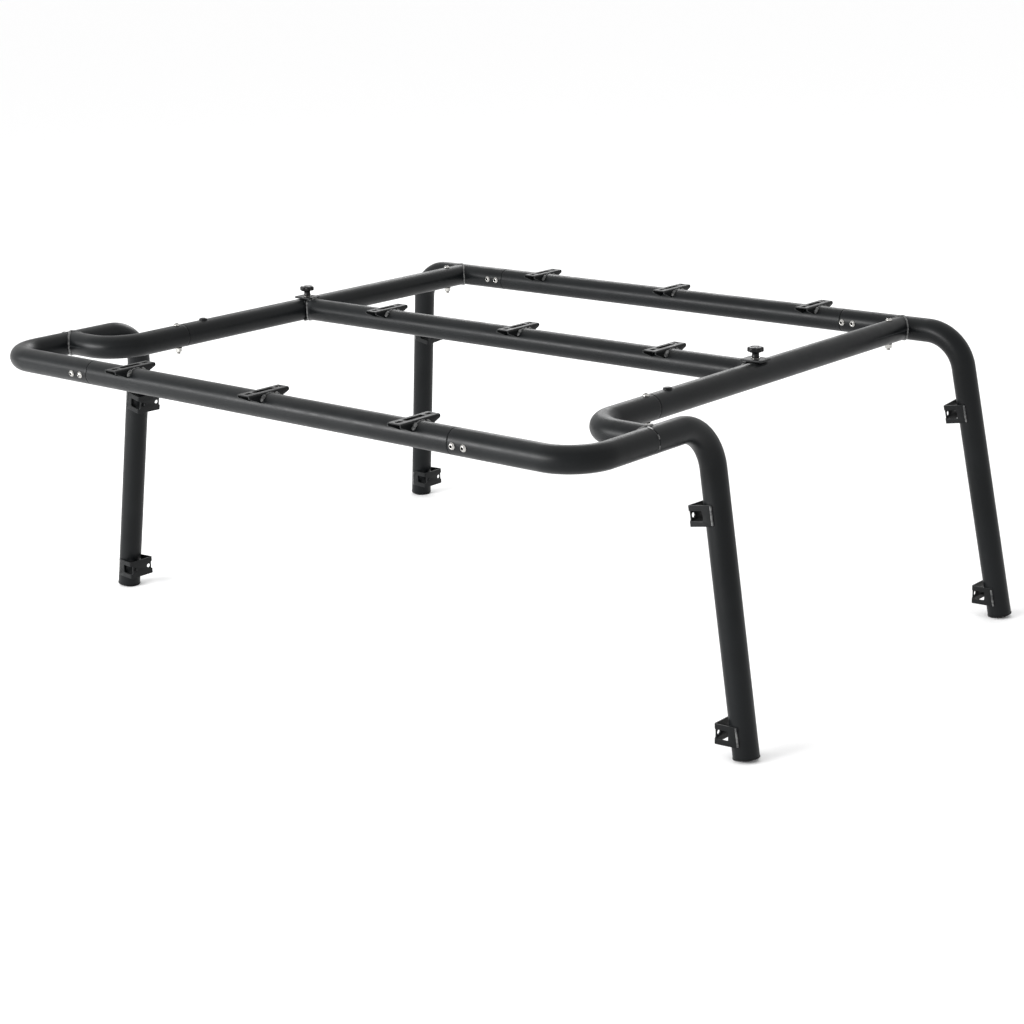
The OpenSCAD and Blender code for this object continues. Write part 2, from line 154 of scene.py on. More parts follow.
def bump(nt, height, out, strength, dist, prev=None):
    b = nt.nodes.new("ShaderNodeBump")
    b.inputs["Strength"].default_value = strength
    b.inputs["Distance"].default_value = dist
    link(nt, height, out, b, "Height")
    if prev is not None:
        link(nt, prev, "Normal", b, "Normal")
    return b


def coat(name, dark, light, rough0, rough1, grain=0.22, dust=0.10, wear_and_glint=0.35, spec=0.5, mottle=7.0):
    """Fine-texture satin powder coat: pebbled grain, slow tone drift, faint dust on top faces, and rubbed edges whose
    lighter colour on sharp edges and chamfered tube ends is partly a painted highlight standing in for edge glints.
    With a fine mottle scale and a light second colour, the drift becomes painted weld glints.
    """
    m = bpy.data.materials.new(name)
    nt, p = nodes_of(m)
    tc = nt.nodes.new("ShaderNodeTexCoord")
    geo = nt.nodes.new("ShaderNodeNewGeometry")
    drift = noise_node(nt, tc, mottle, 3.0)
    f = ramp(nt, drift, "Fac", 0.3, 0.7, 0.0, 1.0)
    col = mixc(nt, f, "Result", dark, light)
    # faint dust where the surface faces up
    sep = nt.nodes.new("ShaderNodeSeparateXYZ")
    link(nt, geo, "Normal", sep, "Vector")
    up = ramp(nt, sep, "Z", 0.55, 1.0, 0.0, dust)
    dn = noise_node(nt, tc, 85.0, 5.0, 0.7)
    dm = nt.nodes.new("ShaderNodeMath")
    dm.operation = "MULTIPLY"
    link(nt, up, "Result", dm, 0)
    link(nt, dn, "Fac", dm, 1)
    col2 = mixc(nt, dm, "Value", col.outputs[2], (0.30, 0.30, 0.29))
    # rubbed edges, partly painted highlight: the lighter colour on sharp edges and chamfered seams also stands in for
    # edge glints
    wn = noise_node(nt, tc, 260.0, 4.0, 0.7)
    pe = ramp(nt, geo, "Pointiness", 0.53, 0.62, 0.0, wear_and_glint)
    wm = nt.nodes.new("ShaderNodeMath")
    wm.operation = "MULTIPLY"
    link(nt, pe, "Result", wm, 0)
    link(nt, wn, "Fac", wm, 1)
    col3 = mixc(nt, wm, "Value", col2.outputs[2], (0.16, 0.165, 0.17))
    nt.links.new(col3.outputs[2], p.inputs["Base Color"])
    rn = noise_node(nt, tc, 28.0, 4.0, 0.6)
    rr = ramp(nt, rn, "Fac", 0.3, 0.7, rough0, rough1)
    link(nt, rr, "Result", p, "Roughness")
    g1 = noise_node(nt, tc, 950.0, 3.0, 0.6)
    g2 = noise_node(nt, tc, 210.0, 2.0, 0.5)
    b1 = bump(nt, g2, "Fac", grain * 0.45, 0.0006)
    b2 = bump(nt, g1, "Fac", grain, 0.0003, b1)
    link(nt, b2, "Normal", p, "Normal")
    p.inputs["Specular IOR Level"].default_value = spec
    return m


def metal(name, c0, c1, rough0, rough1, scratch=0.12, metallic=1.0):
    m = bpy.data.materials.new(name)
    nt, p = nodes_of(m)
    tc = nt.nodes.new("ShaderNodeTexCoord")
    n = noise_node(nt, tc, 420.0, 4.0, 0.6)
    f = ramp(nt, n, "Fac", 0.3, 0.7, 0.0, 1.0)
    col = mixc(nt, f, "Result", c0, c1)
    nt.links.new(col.outputs[2], p.inputs["Base Color"])
    rn = noise_node(nt, tc, 1500.0, 3.0, 0.6)
    rr = ramp(nt, rn, "Fac", 0.3, 0.7, rough0, rough1)
    link(nt, rr, "Result", p, "Roughness")
    sn = noise_node(nt, tc, 500.0, 3.0, 0.6, (6.0, 1.0, 1.0))
    b = bump(nt, sn, "Fac", scratch, 0.0002)
    link(nt, b, "Normal", p, "Normal")
    p.inputs["Metallic"].default_value = metallic
    return m


def plastic(name, c0, c1, rough0, rough1, grain=0.1):
    m = bpy.data.materials.new(name)
    nt, p = nodes_of(m)
    p.inputs["Specular IOR Level"].default_value = 0.16
    tc = nt.nodes.new("ShaderNodeTexCoord")
    n = noise_node(nt, tc, 40.0, 3.0)
    f = ramp(nt, n, "Fac", 0.3, 0.7, 0.0, 1.0)
    col = mixc(nt, f, "Result", c0, c1)
    nt.links.new(col.outputs[2], p.inputs["Base Color"])
    rn = noise_node(nt, tc, 130.0, 3.0)
    rr = ramp(nt, rn, "Fac", 0.3, 0.7, rough0, rough1)
    link(nt, rr, "Result", p, "Roughness")
    g = noise_node(nt, tc, 1300.0, 2.0)
    b = bump(nt, g, "Fac", grain, 0.0002)
    link(nt, b, "Normal", p, "Normal")
    return m


COAT = coat("powder_coat_black", (0.0024, 0.0030, 0.0034), (0.0044, 0.0052, 0.0058), 0.34, 0.43, dust=0.04, spec=0.15)
SHEET = coat("powder_coat_sheet", (0.003, 0.0035, 0.0038), (0.005, 0.0056, 0.006), 0.36, 0.46, grain=0.18, dust=0.03, wear_and_glint=0.45, spec=0.15)
# weld coat: the light second colour on a fine mottle, with strong edge lightening, is painted highlight standing in
# for glints on the weld beads
WELD_PAINTED_GLINT = coat("powder_coat_weld_painted_glint", (0.004, 0.0045, 0.005), (0.11, 0.11, 0.108), 0.24, 0.38, grain=0.15, dust=0.1, wear_and_glint=0.8, spec=0.5, mottle=150.0)
BRIGHT = metal("bright_zinc_bolt", (0.34, 0.335, 0.32), (0.50, 0.49, 0.47), 0.14, 0.28)
SOCKET = metal("bolt_socket_shadow", (0.006, 0.006, 0.006), (0.016, 0.015, 0.015), 0.4, 0.6)
SLEEVE = metal("plated_sleeve", (0.10, 0.10, 0.10), (0.17, 0.17, 0.165), 0.35, 0.5)
KNOB = plastic("knob_black_plastic", (0.003, 0.003, 0.0032), (0.006, 0.006, 0.0064), 0.24, 0.36)
CAPM = plastic("cap_black_plastic", (0.004, 0.004, 0.0042), (0.007, 0.007, 0.0074), 0.45, 0.6, grain=0.2)


# ---------------------------------------------------------------- mesh building
class Geo:
    def __init__(self):
        self.v, self.f, self.m = [], [], []

    def add(self, v, f, m=0):
        o = len(self.v)
        self.v += [V(p) for p in v]
        self.f += [tuple(i + o for i in q) for q in f]
        self.m += [m] * len(f)

    def rings(self, rs, wrap=False, cap0=False, cap1=False, m=0):
        n, k = len(rs[0]), len(rs)
        f = []
        for a in range(k if wrap else k - 1):
            p, q = a * n, ((a + 1) % k) * n
            for i in range(n):
                j = (i + 1) % n
                f.append((p + i, p + j, q + j, q + i))
        if cap0:
            f.append(tuple(range(n - 1, -1, -1)))
        if cap1:
            f.append(tuple((k - 1) * n + i for i in range(n)))
        self.add([p for r in rs for p in r], f, m)

    def moved(self, fn):
        self.v = [fn(p) for p in self.v]
        return self


def piece(name, g, body, mats, replaces=(), mirror=False, angle=34):
    """Makes one closed, smooth-shaded mesh from rack coordinates and rides it on its body."""
    me = bpy.data.meshes.new(name)
    vs = [V((-p.x, p.y, p.z)) if mirror else p for p in g.v]
    me.from_pydata([world(p) for p in vs], [], g.f)
    for m in mats:
        me.materials.append(m)
    me.polygons.foreach_set("material_index", g.m)
    bm = bmesh.new()
    bm.from_mesh(me)
    bmesh.ops.recalc_face_normals(bm, faces=bm.faces)
    bm.to_mesh(me)
    bm.free()
    me.polygons.foreach_set("use_smooth", [True] * len(me.polygons))
    me.set_sharp_from_angle(angle=rad(angle))
    me.update()
    o = bpy.data.objects.new(name, me)
    SC.collection.objects.link(o)
    if replaces:
        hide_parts(*replaces)
    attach(o, body)
    return o


def frames(pth, ref=None):
    out, n = [], None
    for p, t in pth:
        r = ref(p) if ref else (n if n is not None else (V((0, 0, 1)) if abs(t.z) < 0.9 else V((0, 1, 0))))
        n = (r - t * r.dot(t)).normalized()
        out.append((p, t, n, t.cross(n)))
    return out


def ring(p, n, b, r, seg):
    return [p + n * (r * math.cos(2 * math.pi * i / seg)) + b * (r * math.sin(2 * math.pi * i / seg)) for i in range(seg)]


def fillet(P, r, step=2.5):
    out = [(P[0], (P[1] - P[0]).normalized())]
    for i in range(1, len(P) - 1):
        d1, d2 = (P[i] - P[i - 1]).normalized(), (P[i + 1] - P[i]).normalized()
        a = d1.angle(d2)
        st = P[i] - d1 * (r * math.tan(a / 2))
        m = (d2 - d1 * d2.dot(d1)).normalized()
        k = max(2, int(math.degrees(a) / step))
        for j in range(k + 1):
            f = a * j / k
            out.append((st + d1 * (r * math.sin(f)) + m * (r * (1 - math.cos(f))), d1 * math.cos(f) + m * math.sin(f)))
    out.append((P[-1], (P[-1] - P[-2]).normalized()))
    return out


def tube(g, pth, cope0=None, cope1=None, r=None, ri=None, ch=0.55, seg=80, m=0):
    """Hollow round tube along a path, one closed skin, with eased or coped ends."""
    r, ri = r or R, ri or RI
    # rings along the straights, and close to each end, keep the end shading local
    full = [pth[0]]
    for (p0, t0), (p1, t1) in zip(pth, pth[1:]):
        d = (p1 - p0).length
        cuts = []
        if d > 60:
            n = max(1, int(d / 90))
            cuts = [d * k / n for k in range(1, n)]
            cuts = [3.0 if pth[0][0] is p0 and not cope0 else 12.0] + cuts + [d - (3.0 if pth[-1][0] is p1 and not cope1 else 12.0)]
        full += [(p0.lerp(p1, c / d), (p1 - p0).normalized()) for c in sorted(cuts)] + [(p1, t1)]
    fr = frames(full)
    outer, inner = [], []
    for k, (p, t, n, b) in enumerate(fr):
        first, last = k == 0, k == len(fr) - 1
        if first and not cope0:
            outer += [ring(p, n, b, r - ch, seg), ring(p + t * (ch * 0.35), n, b, r - ch * 0.35, seg), ring(p + t * ch, n, b, r, seg)]
            inner += [ring(p, n, b, ri + ch * 0.6, seg), ring(p + t * ch, n, b, ri, seg)]
        elif last and not cope1:
            outer += [ring(p - t * ch, n, b, r, seg), ring(p - t * (ch * 0.35), n, b, r - ch * 0.35, seg), ring(p, n, b, r - ch, seg)]
            inner += [ring(p - t * ch, n, b, ri, seg), ring(p, n, b, ri + ch * 0.6, seg)]
        else:
            o, i = ring(p, n, b, r, seg), ring(p, n, b, ri, seg)
            c = cope0 if first else cope1 if last else None
            outer.append([c(q) for q in o] if c else o)
            inner.append([c(q) for q in i] if c else i)
    g.rings(outer + inner[::-1], wrap=True, m=m)


def axes_for(axis):
    a = V(axis).normalized()
    x = V((1, 0, 0)) if abs(a.x) < 0.9 else V((0, 1, 0))
    x = (x - a * x.dot(a)).normalized()
    return a, x, a.cross(x)


def shape_ring(c, ax, fn, h, seg):
    a, x, y = ax
    out = []
    for i in range(seg):
        t = 2 * math.pi * i / seg
        r = fn(t) if callable(fn) else fn
        out.append(c + a * h + x * (r * math.cos(t)) + y * (r * math.sin(t)))
    return out


def hexr(ap, cap=None):
    def f(t):
        r = ap / math.cos(((t + math.pi / 6) % (math.pi / 3)) - math.pi / 6)
        return min(r, cap) if cap else r
    return f


def lathe(g, c, axis, prof, seg=48, m=0, wrap=False, cap0=True, cap1=True, ax=None):
    ax = ax or axes_for(axis)
    g.rings([shape_ring(c, ax, r, h, seg) for r, h in prof], wrap=wrap, cap0=cap0 and not wrap, cap1=cap1 and not wrap, m=m)


def button(g, c, axis, length, thread=0.0):
    """Domed button-head bolt with a hex socket, seated at c."""
    ax = axes_for(axis)
    prof = [(4.0, -length + 0.8), (4.0, -0.9), (6.6, -0.9), (6.95, -0.4), (7.0, 0.75), (6.85, 1.25), (6.4, 2.05), (5.7, 2.8), (4.9, 3.45), (4.1, 3.95), (3.75, 4.15), (3.5, 4.2)]
    head = [shape_ring(c, ax, r, h, 48) for r, h in prof]
    if thread:
        tr, h = [], -length
        tr.append(shape_ring(c, ax, 3.0, h, 48))
        while h < -length + thread:
            tr += [shape_ring(c, ax, 3.45, h + 0.25, 48), shape_ring(c, ax, 4.0, h + 0.75, 48), shape_ring(c, ax, 4.0, h + 1.0, 48)]
            h += 1.25
        head = tr + [r for r in head[0:]] if h <= -length + 0.8 else tr + head[1:]
    g.rings(head, cap0=True, m=0)
    o = len(g.v) - 48
    # socket: hexagon dropping from the crown
    s = [shape_ring(c, ax, hexr(2.9), 4.05, 48), shape_ring(c, ax, hexr(2.8), 3.7, 48), shape_ring(c, ax, hexr(2.8), 1.7, 48), shape_ring(c, ax, 1.0, 1.3, 48)]
    k = len(g.v)
    g.v += [p for r in s for p in r]
    chain = [o, k, k + 48, k + 96, k + 144]
    for q in range(4):
        a, b = chain[q], chain[q + 1]
        for i in range(48):
            j = (i + 1) % 48
            g.f.append((a + i, a + j, b + j, b + i))
            g.m.append(0 if q < 1 else 1)
    g.f.append(tuple(chain[4] + i for i in range(48)))
    g.m.append(1)


def nut(g, c, axis, ap=6.5, h=7.0, bore=4.05, flange=8.3):
    """Hex flange nut: its flange sits at c and the hexagon stands away along axis."""
    ax = axes_for(axis)
    s = 48
    rs = [shape_ring(c, ax, bore, 0.0, s), shape_ring(c, ax, flange - 0.3, 0.0, s), shape_ring(c, ax, flange, 0.3, s), shape_ring(c, ax, flange, 0.75, s), shape_ring(c, ax, hexr(ap, 7.6), 1.35, s),
          shape_ring(c, ax, hexr(ap), 1.8, s), shape_ring(c, ax, hexr(ap), h - 0.9, s), shape_ring(c, ax, hexr(ap, 7.05), h - 0.35, s), shape_ring(c, ax, hexr(ap - 0.5, 6.3), h, s),
          shape_ring(c, ax, bore + 0.6, h, s), shape_ring(c, ax, bore, h - 0.6, s)]
    g.rings(rs, wrap=True)


def bead(g, pts, r, ref=None, pitch=3.4, seg=10, m=0, closed=False, flat=1.0, seed=0.0):
    """Rippled weld bead along a line of points."""
    P = list(pts) + ([pts[0]] if closed else [])
    L = [0.0]
    for a, b in zip(P, P[1:]):
        L.append(L[-1] + (b - a).length)
    n = max(6, int(L[-1] / (pitch / 5)))
    out, k = [], 0
    for i in range(n if closed else n + 1):
        s = L[-1] * i / n
        while k < len(L) - 2 and L[k + 1] < s:
            k += 1
        f = (s - L[k]) / max(1e-9, L[k + 1] - L[k])
        out.append((P[k].lerp(P[k + 1], f), s))
    N = len(out)
    pth = []
    for i in range(N):
        a = out[(i - 1) % N][0] if closed or i > 0 else out[i][0]
        b = out[(i + 1) % N][0] if closed or i < N - 1 else out[i][0]
        pth.append((out[i][0], (b - a).normalized()))
    rs = []
    for (p, t, nn, bb), (_, s) in zip(frames(pth, ref), out):
        ph = (s / pitch) % 1.0
        k2 = 1 + 0.13 * (1 - (2 * ph - 1) ** 2) - 0.05 + 0.10 * noise.noise(V((s * 0.11 + seed, seed, 0.3)))
        if not closed:
            e = min(s, L[-1] - s) / (r * 1.1)
            k2 *= math.sqrt(max(0.04, min(1, e) * (2 - min(1, e))))
        ringp = []
        for i in range(seg):
            a = 2 * math.pi * i / seg
            ringp.append(p + nn * (r * k2 * math.cos(a) * flat) + bb * (r * k2 * math.sin(a)))
        rs.append(ringp)
    g.rings(rs, wrap=closed, cap0=not closed, cap1=not closed, m=m)


def plate(outline, holes, t, bev=0.35):
    """Flat plate with eased edges as a bmesh, lying in (u, v) with thickness along w. Outline is the finished edge."""
    cu = bpy.data.curves.new("tmp_plate", "CURVE")
    cu.dimensions = "2D"
    cu.fill_mode = "BOTH"
    cu.extrude = t / 2 - bev
    cu.bevel_depth = bev
    cu.bevel_resolution = 1
    for loop in [outline] + holes:
        sp = cu.splines.new("POLY")
        sp.points.add(len(loop) - 1)
        for i, (u, v) in enumerate(loop):
            sp.points[i].co = (u, v, 0, 1)
        sp.use_cyclic_u = True
    ob = bpy.data.objects.new("tmp_plate", cu)
    SC.collection.objects.link(ob)
    dg = bpy.context.evaluated_depsgraph_get()
    me = bpy.data.meshes.new_from_object(ob.evaluated_get(dg))
    bm = bmesh.new()
    bm.from_mesh(me)
    bmesh.ops.remove_doubles(bm, verts=bm.verts, dist=0.002)
    bpy.data.objects.remove(ob)
    bpy.data.curves.remove(cu)
    bpy.data.meshes.remove(me)
    return bm


def shrink(loop, d):
    """Moves a closed loop's corners inwards by d (outwards for a negative d)."""
    n, out = len(loop), []
    area = sum(loop[i][0] * loop[(i + 1) % n][1] - loop[(i + 1) % n][0] * loop[i][1] for i in range(n))
    s = 1 if area > 0 else -1
    for i in range(n):
        a, b, c = V((*loop[i - 1], 0)), V((*loop[i], 0)), V((*loop[(i + 1) % n], 0))
        e1, e2 = (b - a).normalized(), (c - b).normalized()
        n1, n2 = V((-e1.y, e1.x, 0)) * s, V((-e2.y, e2.x, 0)) * s
        h = (n1 + n2)
        h = h / max(0.35, h.length_squared / 2)
        out.append((b.x + h.x * d, b.y + h.y * d))
    return out


def rounded(u0, u1, v0, v1, r, k=5):
    pts = []
    for cu, cv, a0 in ((u1 - r, v1 - r, 0), (u0 + r, v1 - r, 90), (u0 + r, v0 + r, 180), (u1 - r, v0 + r, 270)):
        for i in range(k + 1):
            a = rad(a0 + 90 * i / k)
            pts.append((cu + r * math.cos(a), cv + r * math.sin(a)))
    return pts


def circle2(u, v, r, k=28):
    return [(u + r * math.cos(2 * math.pi * i / k), v + r * math.sin(2 * math.pi * i / k)) for i in range(k)]


def fold(g, bm, cuts, fn, m=0):
    """Cuts a flat plate along its bend lines and wraps it with fn(u, v, w)."""
    for c in cuts:
        bmesh.ops.bisect_plane(bm, geom=list(bm.verts) + list(bm.edges) + list(bm.faces), plane_co=(c, 0, 0), plane_no=(1, 0, 0), dist=0.001)
    bmesh.ops.triangulate(bm, faces=[f for f in bm.faces if len(f.verts) > 4])
    bm.verts.index_update()
    g.add([fn(*v.co) for v in bm.verts], [tuple(v.index for v in f.verts) for f in bm.faces], m)
    bm.free()


# ---------------------------------------------------------------- main tubes
def both(fn):
    for side, mir in (("left", True), ("right", False)):
        fn(side, mir)


def crossbar(name, y, x0, x1):
    g = Geo()
    tube(g, [(V((x0 + GAP, y, 0)), V((1, 0, 0))), (V((x1 - GAP, y, 0)), V((1, 0, 0)))])
    piece("tube_" + name, g, "frame", [COAT], [name])


crossbar("front_crossbar", 0, -SEAM[-1], SEAM[1])
crossbar("rear_crossbar", BAY, -REAR_SEAM, REAR_SEAM)


def front_tubes(side, mir):
    s = -1 if mir else 1
    g = Geo()
    tube(g, fillet([V((SEAM[s] + GAP, 0, 0)), V((CORNER_X, 0, 0)), V((CORNER_X, CORNER_SEAM[s] - GAP, 0))], B_CORNER))
    # butt weld dots where the corner meets the leg, in the weld coat whose light mottle is a painted glint on the seam
    for a0, a1 in ((62, 96), (16, 40), (-30, -8), (150, 200)):
        pts = [V((CORNER_X + (R + 0.1) * math.cos(rad(a)), CORNER_SEAM[s] - 0.2, (R + 0.1) * math.sin(rad(a)))) for a in range(a0, a1, 3)]
        bead(g, pts, 1.5, m=1, seed=a0 * 0.1, ref=lambda p: V((0, 1, 0)))
    piece("tube_front_corner_" + side, g, "frame", [COAT, WELD_PAINTED_GLINT], ["front_corner_" + side], mir)
    g = Geo()
    tube(g, fillet([V((CORNER_X, CORNER_SEAM[s] + GAP, 0)), F_TOP, F_TOP + F_DIR * (F_LEN - CAP_T)], B_LEG))
    piece("tube_front_leg_" + side, g, "frame", [COAT], ["front_leg_" + side], mir)
    # connector: coped to the leg tube, bent back into the rail
    g = Geo()
    tube(g, fillet([V((CORNER_X - 5, CONN_Y[s], 0)), V((RAIL_X, CONN_Y[s], 0)), V((RAIL_X, RAIL_SEAM[s] - GAP, 0))], B_CONN),
         cope0=lambda q: V((CORNER_X - math.sqrt(max(0.0, (R - 0.2) ** 2 - q.z ** 2)), q.y, q.z)))
    loop = []
    for i in range(120):
        a = 2 * math.pi * i / 120
        loop.append(V((CORNER_X - (R + 0.6) * math.sqrt(math.cos(a) ** 2 + 0.01), CONN_Y[s] + (R + 0.6) * math.cos(a), (R + 0.4) * math.sin(a))))
    bead(g, loop, 2.5, ref=lambda p: V((1, 0, 0)), closed=True, m=1, seed=3.1)
    piece("tube_rail_connector_" + side, g, "frame", [COAT, WELD_PAINTED_GLINT], ["rail_connector_" + side], mir)


both(front_tubes)


def rails(side, mir):
    s = -1 if mir else 1
    g = Geo()
    tube(g, [(V((RAIL_X, RAIL_SEAM[s] + GAP, 0)), V((0, 1, 0))), (V((RAIL_X, BAY - 8, 0)), V((0, 1, 0)))],
         cope1=lambda q: V((q.x, BAY - math.sqrt(max(0.0, (R - 0.2) ** 2 - q.z ** 2)), q.z)))
    loop = []
    for i in range(120):
        a = 2 * math.pi * i / 120
        loop.append(V((RAIL_X + (R + 0.6) * math.cos(a), BAY - (R + 0.6) * math.sqrt(math.cos(a) ** 2 + 0.01), (R + 0.4) * math.sin(a))))
    bead(g, loop, 2.2, ref=lambda p: V((0, 1, 0)), closed=True, m=1, seed=7.7)
    piece("tube_side_rail_" + side, g, "frame", [COAT, WELD_PAINTED_GLINT], ["side_rail_" + side], mir)


both(rails)


def rear_legs(side, mir):
    g = Geo()
    P = [V((REAR_SEAM + GAP, BAY, 0)), R_TOP, R_TOP + R_DIR * (R_LEN - CAP_T)]
    tube(g, fillet(P, B_REAR))
    piece("tube_rear_leg_" + side, g, "frame", [COAT], ["rear_leg_" + side], mir)


both(rear_legs)

# centre crossbar, coped round the rails' saddles
g = Geo()
SO = R + 3.5
tube(g, [(V((-RAIL_X + 30, YC, 0)), V((1, 0, 0))), (V((RAIL_X - 30, YC, 0)), V((1, 0, 0)))],
     cope0=lambda q: V((-RAIL_X + math.sqrt(SO ** 2 - q.z ** 2), q.y, q.z)),
     cope1=lambda q: V((RAIL_X - math.sqrt(SO ** 2 - q.z ** 2), q.y, q.z)))
piece("tube_centre_crossbar", g, "centre_bar", [COAT], ["centre_crossbar"])


# ---------------------------------------------------------------- centre crossbar ends
def saddle(g, mir):
    s = -1 if mir else 1
    def fn(u, v, w):
        a = u / (R + 2.0)
        r = R + 2.0 + w
        return V((s * (RAIL_X - r * math.cos(a)), YC + v, r * math.sin(a)))
    u0, u1 = -(R + 2.0) * rad(66), (R + 2.0) * rad(58)
    bm = plate(shrink(rounded(u0, u1, -22, 22, 5), 0.35), [], 3.0)
    fold(g, bm, [u0 + (u1 - u0) * i / 30 for i in range(1, 30)], fn)
    loop = []
    for i in range(120):
        a = 2 * math.pi * i / 120
        z = (R + 0.3) * math.sin(a)
        loop.append(V((s * (RAIL_X - math.sqrt((SO + 0.4) ** 2 - z * z) - 0.4), YC + (R + 0.5) * math.cos(a), z)))
    loop = [p for p in loop if abs(p.y - YC) < 21.6 or True]
    bead(g, loop, 2.0, ref=lambda p: V((1, 0, 0)), closed=True, m=1, seed=1.3)


g = Geo()
saddle(g, False)
saddle(g, True)
piece("rail_saddles_formed", g, "centre_bar", [SHEET, WELD_PAINTED_GLINT], ["rail_saddles"])

PZ0, PZ1 = span("clamp_plates", 2)[0] - H, span("clamp_plates", 2)[1] - H
PX1 = span("clamp_plates", 0)[1]
PX0 = PX1 - 49.0
KX = mid("knob_right", 0)
KZ = span("knob_right", 2)[0] - H


def clamp(g, s):
    bm = plate(shrink(rounded(PX0, PX1, -19, 19, 4), 0.5), [circle2(KX, 0, 4.3 + 0.5)], PZ1 - PZ0, 0.5)
    fold(g, bm, [], lambda u, v, w: V((s * u, YC + v, (PZ0 + PZ1) / 2 + w)))
    for sv in (-1, 1):
        bead(g, [V((s * (PX0 + 1 + k * 2.4), YC + sv * 10.5, R - 1.2 + 0.2)) for k in range(6)], 2.2, m=1, seed=sv)
    bead(g, [V((s * (PX0 - 0.2), YC - 9 + k * 3, R + 0.9 - ((-9 + k * 3) ** 2) / 60)) for k in range(7)], 2.3, m=1, seed=5)


g = Geo()
clamp(g, 1)
clamp(g, -1)
piece("clamp_plates_eased", g, "centre_bar", [SHEET, WELD_PAINTED_GLINT], ["clamp_plates"])

g = Geo()
for s in (-1, 1):
    lathe(g, V((s * KX, YC, PZ1)), (0, 0, 1), [(4.3, 0.02), (8.7, 0.02), (9.0, 0.3), (9.0, 1.15), (8.7, 1.48), (4.6, 1.48), (4.3, 1.3)], wrap=True)
piece("knob_washers_turned", g, "centre_bar", [BRIGHT], ["knob_washers"])


def knob(side, mir):
    g = Geo()
    ax = (V((0, 0, 1)), V((1, 0, 0)), V((0, 1, 0)))
    c = V((KX, YC, KZ))
    def lob(base, d):
        def f(t):
            k = (0.5 + 0.5 * math.cos(6 * t)) ** 1.6
            return base - d * k
        return f
    rows = [(6.9, 0.0), (7.5, 0.25), (7.7, 1.0), (7.7, 3.0), (7.3, 3.6), (7.2, 8.6), (7.6, 10.0), (8.6, 11.1), (lob(10.5, 0.3), 11.7), (lob(13.6, 1.4), 12.05), (lob(15.6, 1.9), 12.6), (lob(16.3, 2.0), 13.5), (lob(16.4, 2.0), 14.6),
            (lob(16.4, 2.0), 18.9), (lob(16.2, 2.0), 20.0), (lob(15.6, 1.9), 21.0), (lob(14.5, 1.6), 21.7), (lob(13.0, 1.1), 21.95), (lob(11.2, 0.5), 21.9), (9.6, 21.6), (8.4, 21.15), (7.9, 20.95), (7.4, 21.0), (7.0, 21.35), (6.4, 21.5), (2.0, 21.75)]
    g.rings([shape_ring(c, ax, r, h, 96) for r, h in rows], cap0=True, cap1=True)
    piece("clamp_knob_" + side, g, "knob_%s_body" % side, [KNOB], ["knob_" + side], mir, angle=50)


both(knob)


# ---------------------------------------------------------------- fasteners
def fasten():
    for name, y, xs in (("front", 0.0, F_BOLTS), ("rear", BAY, R_BOLTS)):
        g = Geo()
        drop = rad(4 if name == "front" else 0)
        for s in (-1, 1):
            for x in xs[s]:
                a = V((0, -math.cos(drop), -math.sin(drop)))
                button(g, V((s * x, y, 0)) + a * R, a, 13.0)
        piece("button_bolts_%s_crossbar" % name, g, "frame", [BRIGHT, SOCKET], ["crossbar_bolts_" + name])
    g = Geo()
    gn = Geo()
    for s in (-1, 1):
        for y in (RAIL_BOLT[s], BAY - 62):
            button(g, V((s * RAIL_X, y, R)), (0, 0, 1), 2 * R + 14, thread=5.0)
            nut(gn, V((s * RAIL_X, y, -R - 0.1)), (0, 0, -1), h=9.0)
    piece("rail_through_bolts", g, "frame", [BRIGHT, SOCKET], ["rail_bolts"])
    piece("rail_flange_nuts", gn, "frame", [BRIGHT], ["rail_nuts"])
    g = Geo()
    for s in (-1, 1):
        lathe(g, V((s * RAIL_X, STOP_Y[s], R)), (0, 0, 1), [(4.6, -7), (4.7, -2.6), (9.0, -2.6), (9.15, 1.2), (8.9, 1.9), (8.2, 2.7), (7.1, 3.3), (5.6, 3.8), (3.6, 4.1), (1.8, 4.18)])
    piece("rail_stop_domes", g, "frame", [KNOB], ["rail_stop_buttons"])


fasten()


# ---------------------------------------------------------------- cleats
CL, CW = span("cleat_front_middle", 1)[1] - span("cleat_front_middle", 1)[0], 34.0
CT = 2.5
CTOP = span("cleat_front_middle", 2)[1] - H


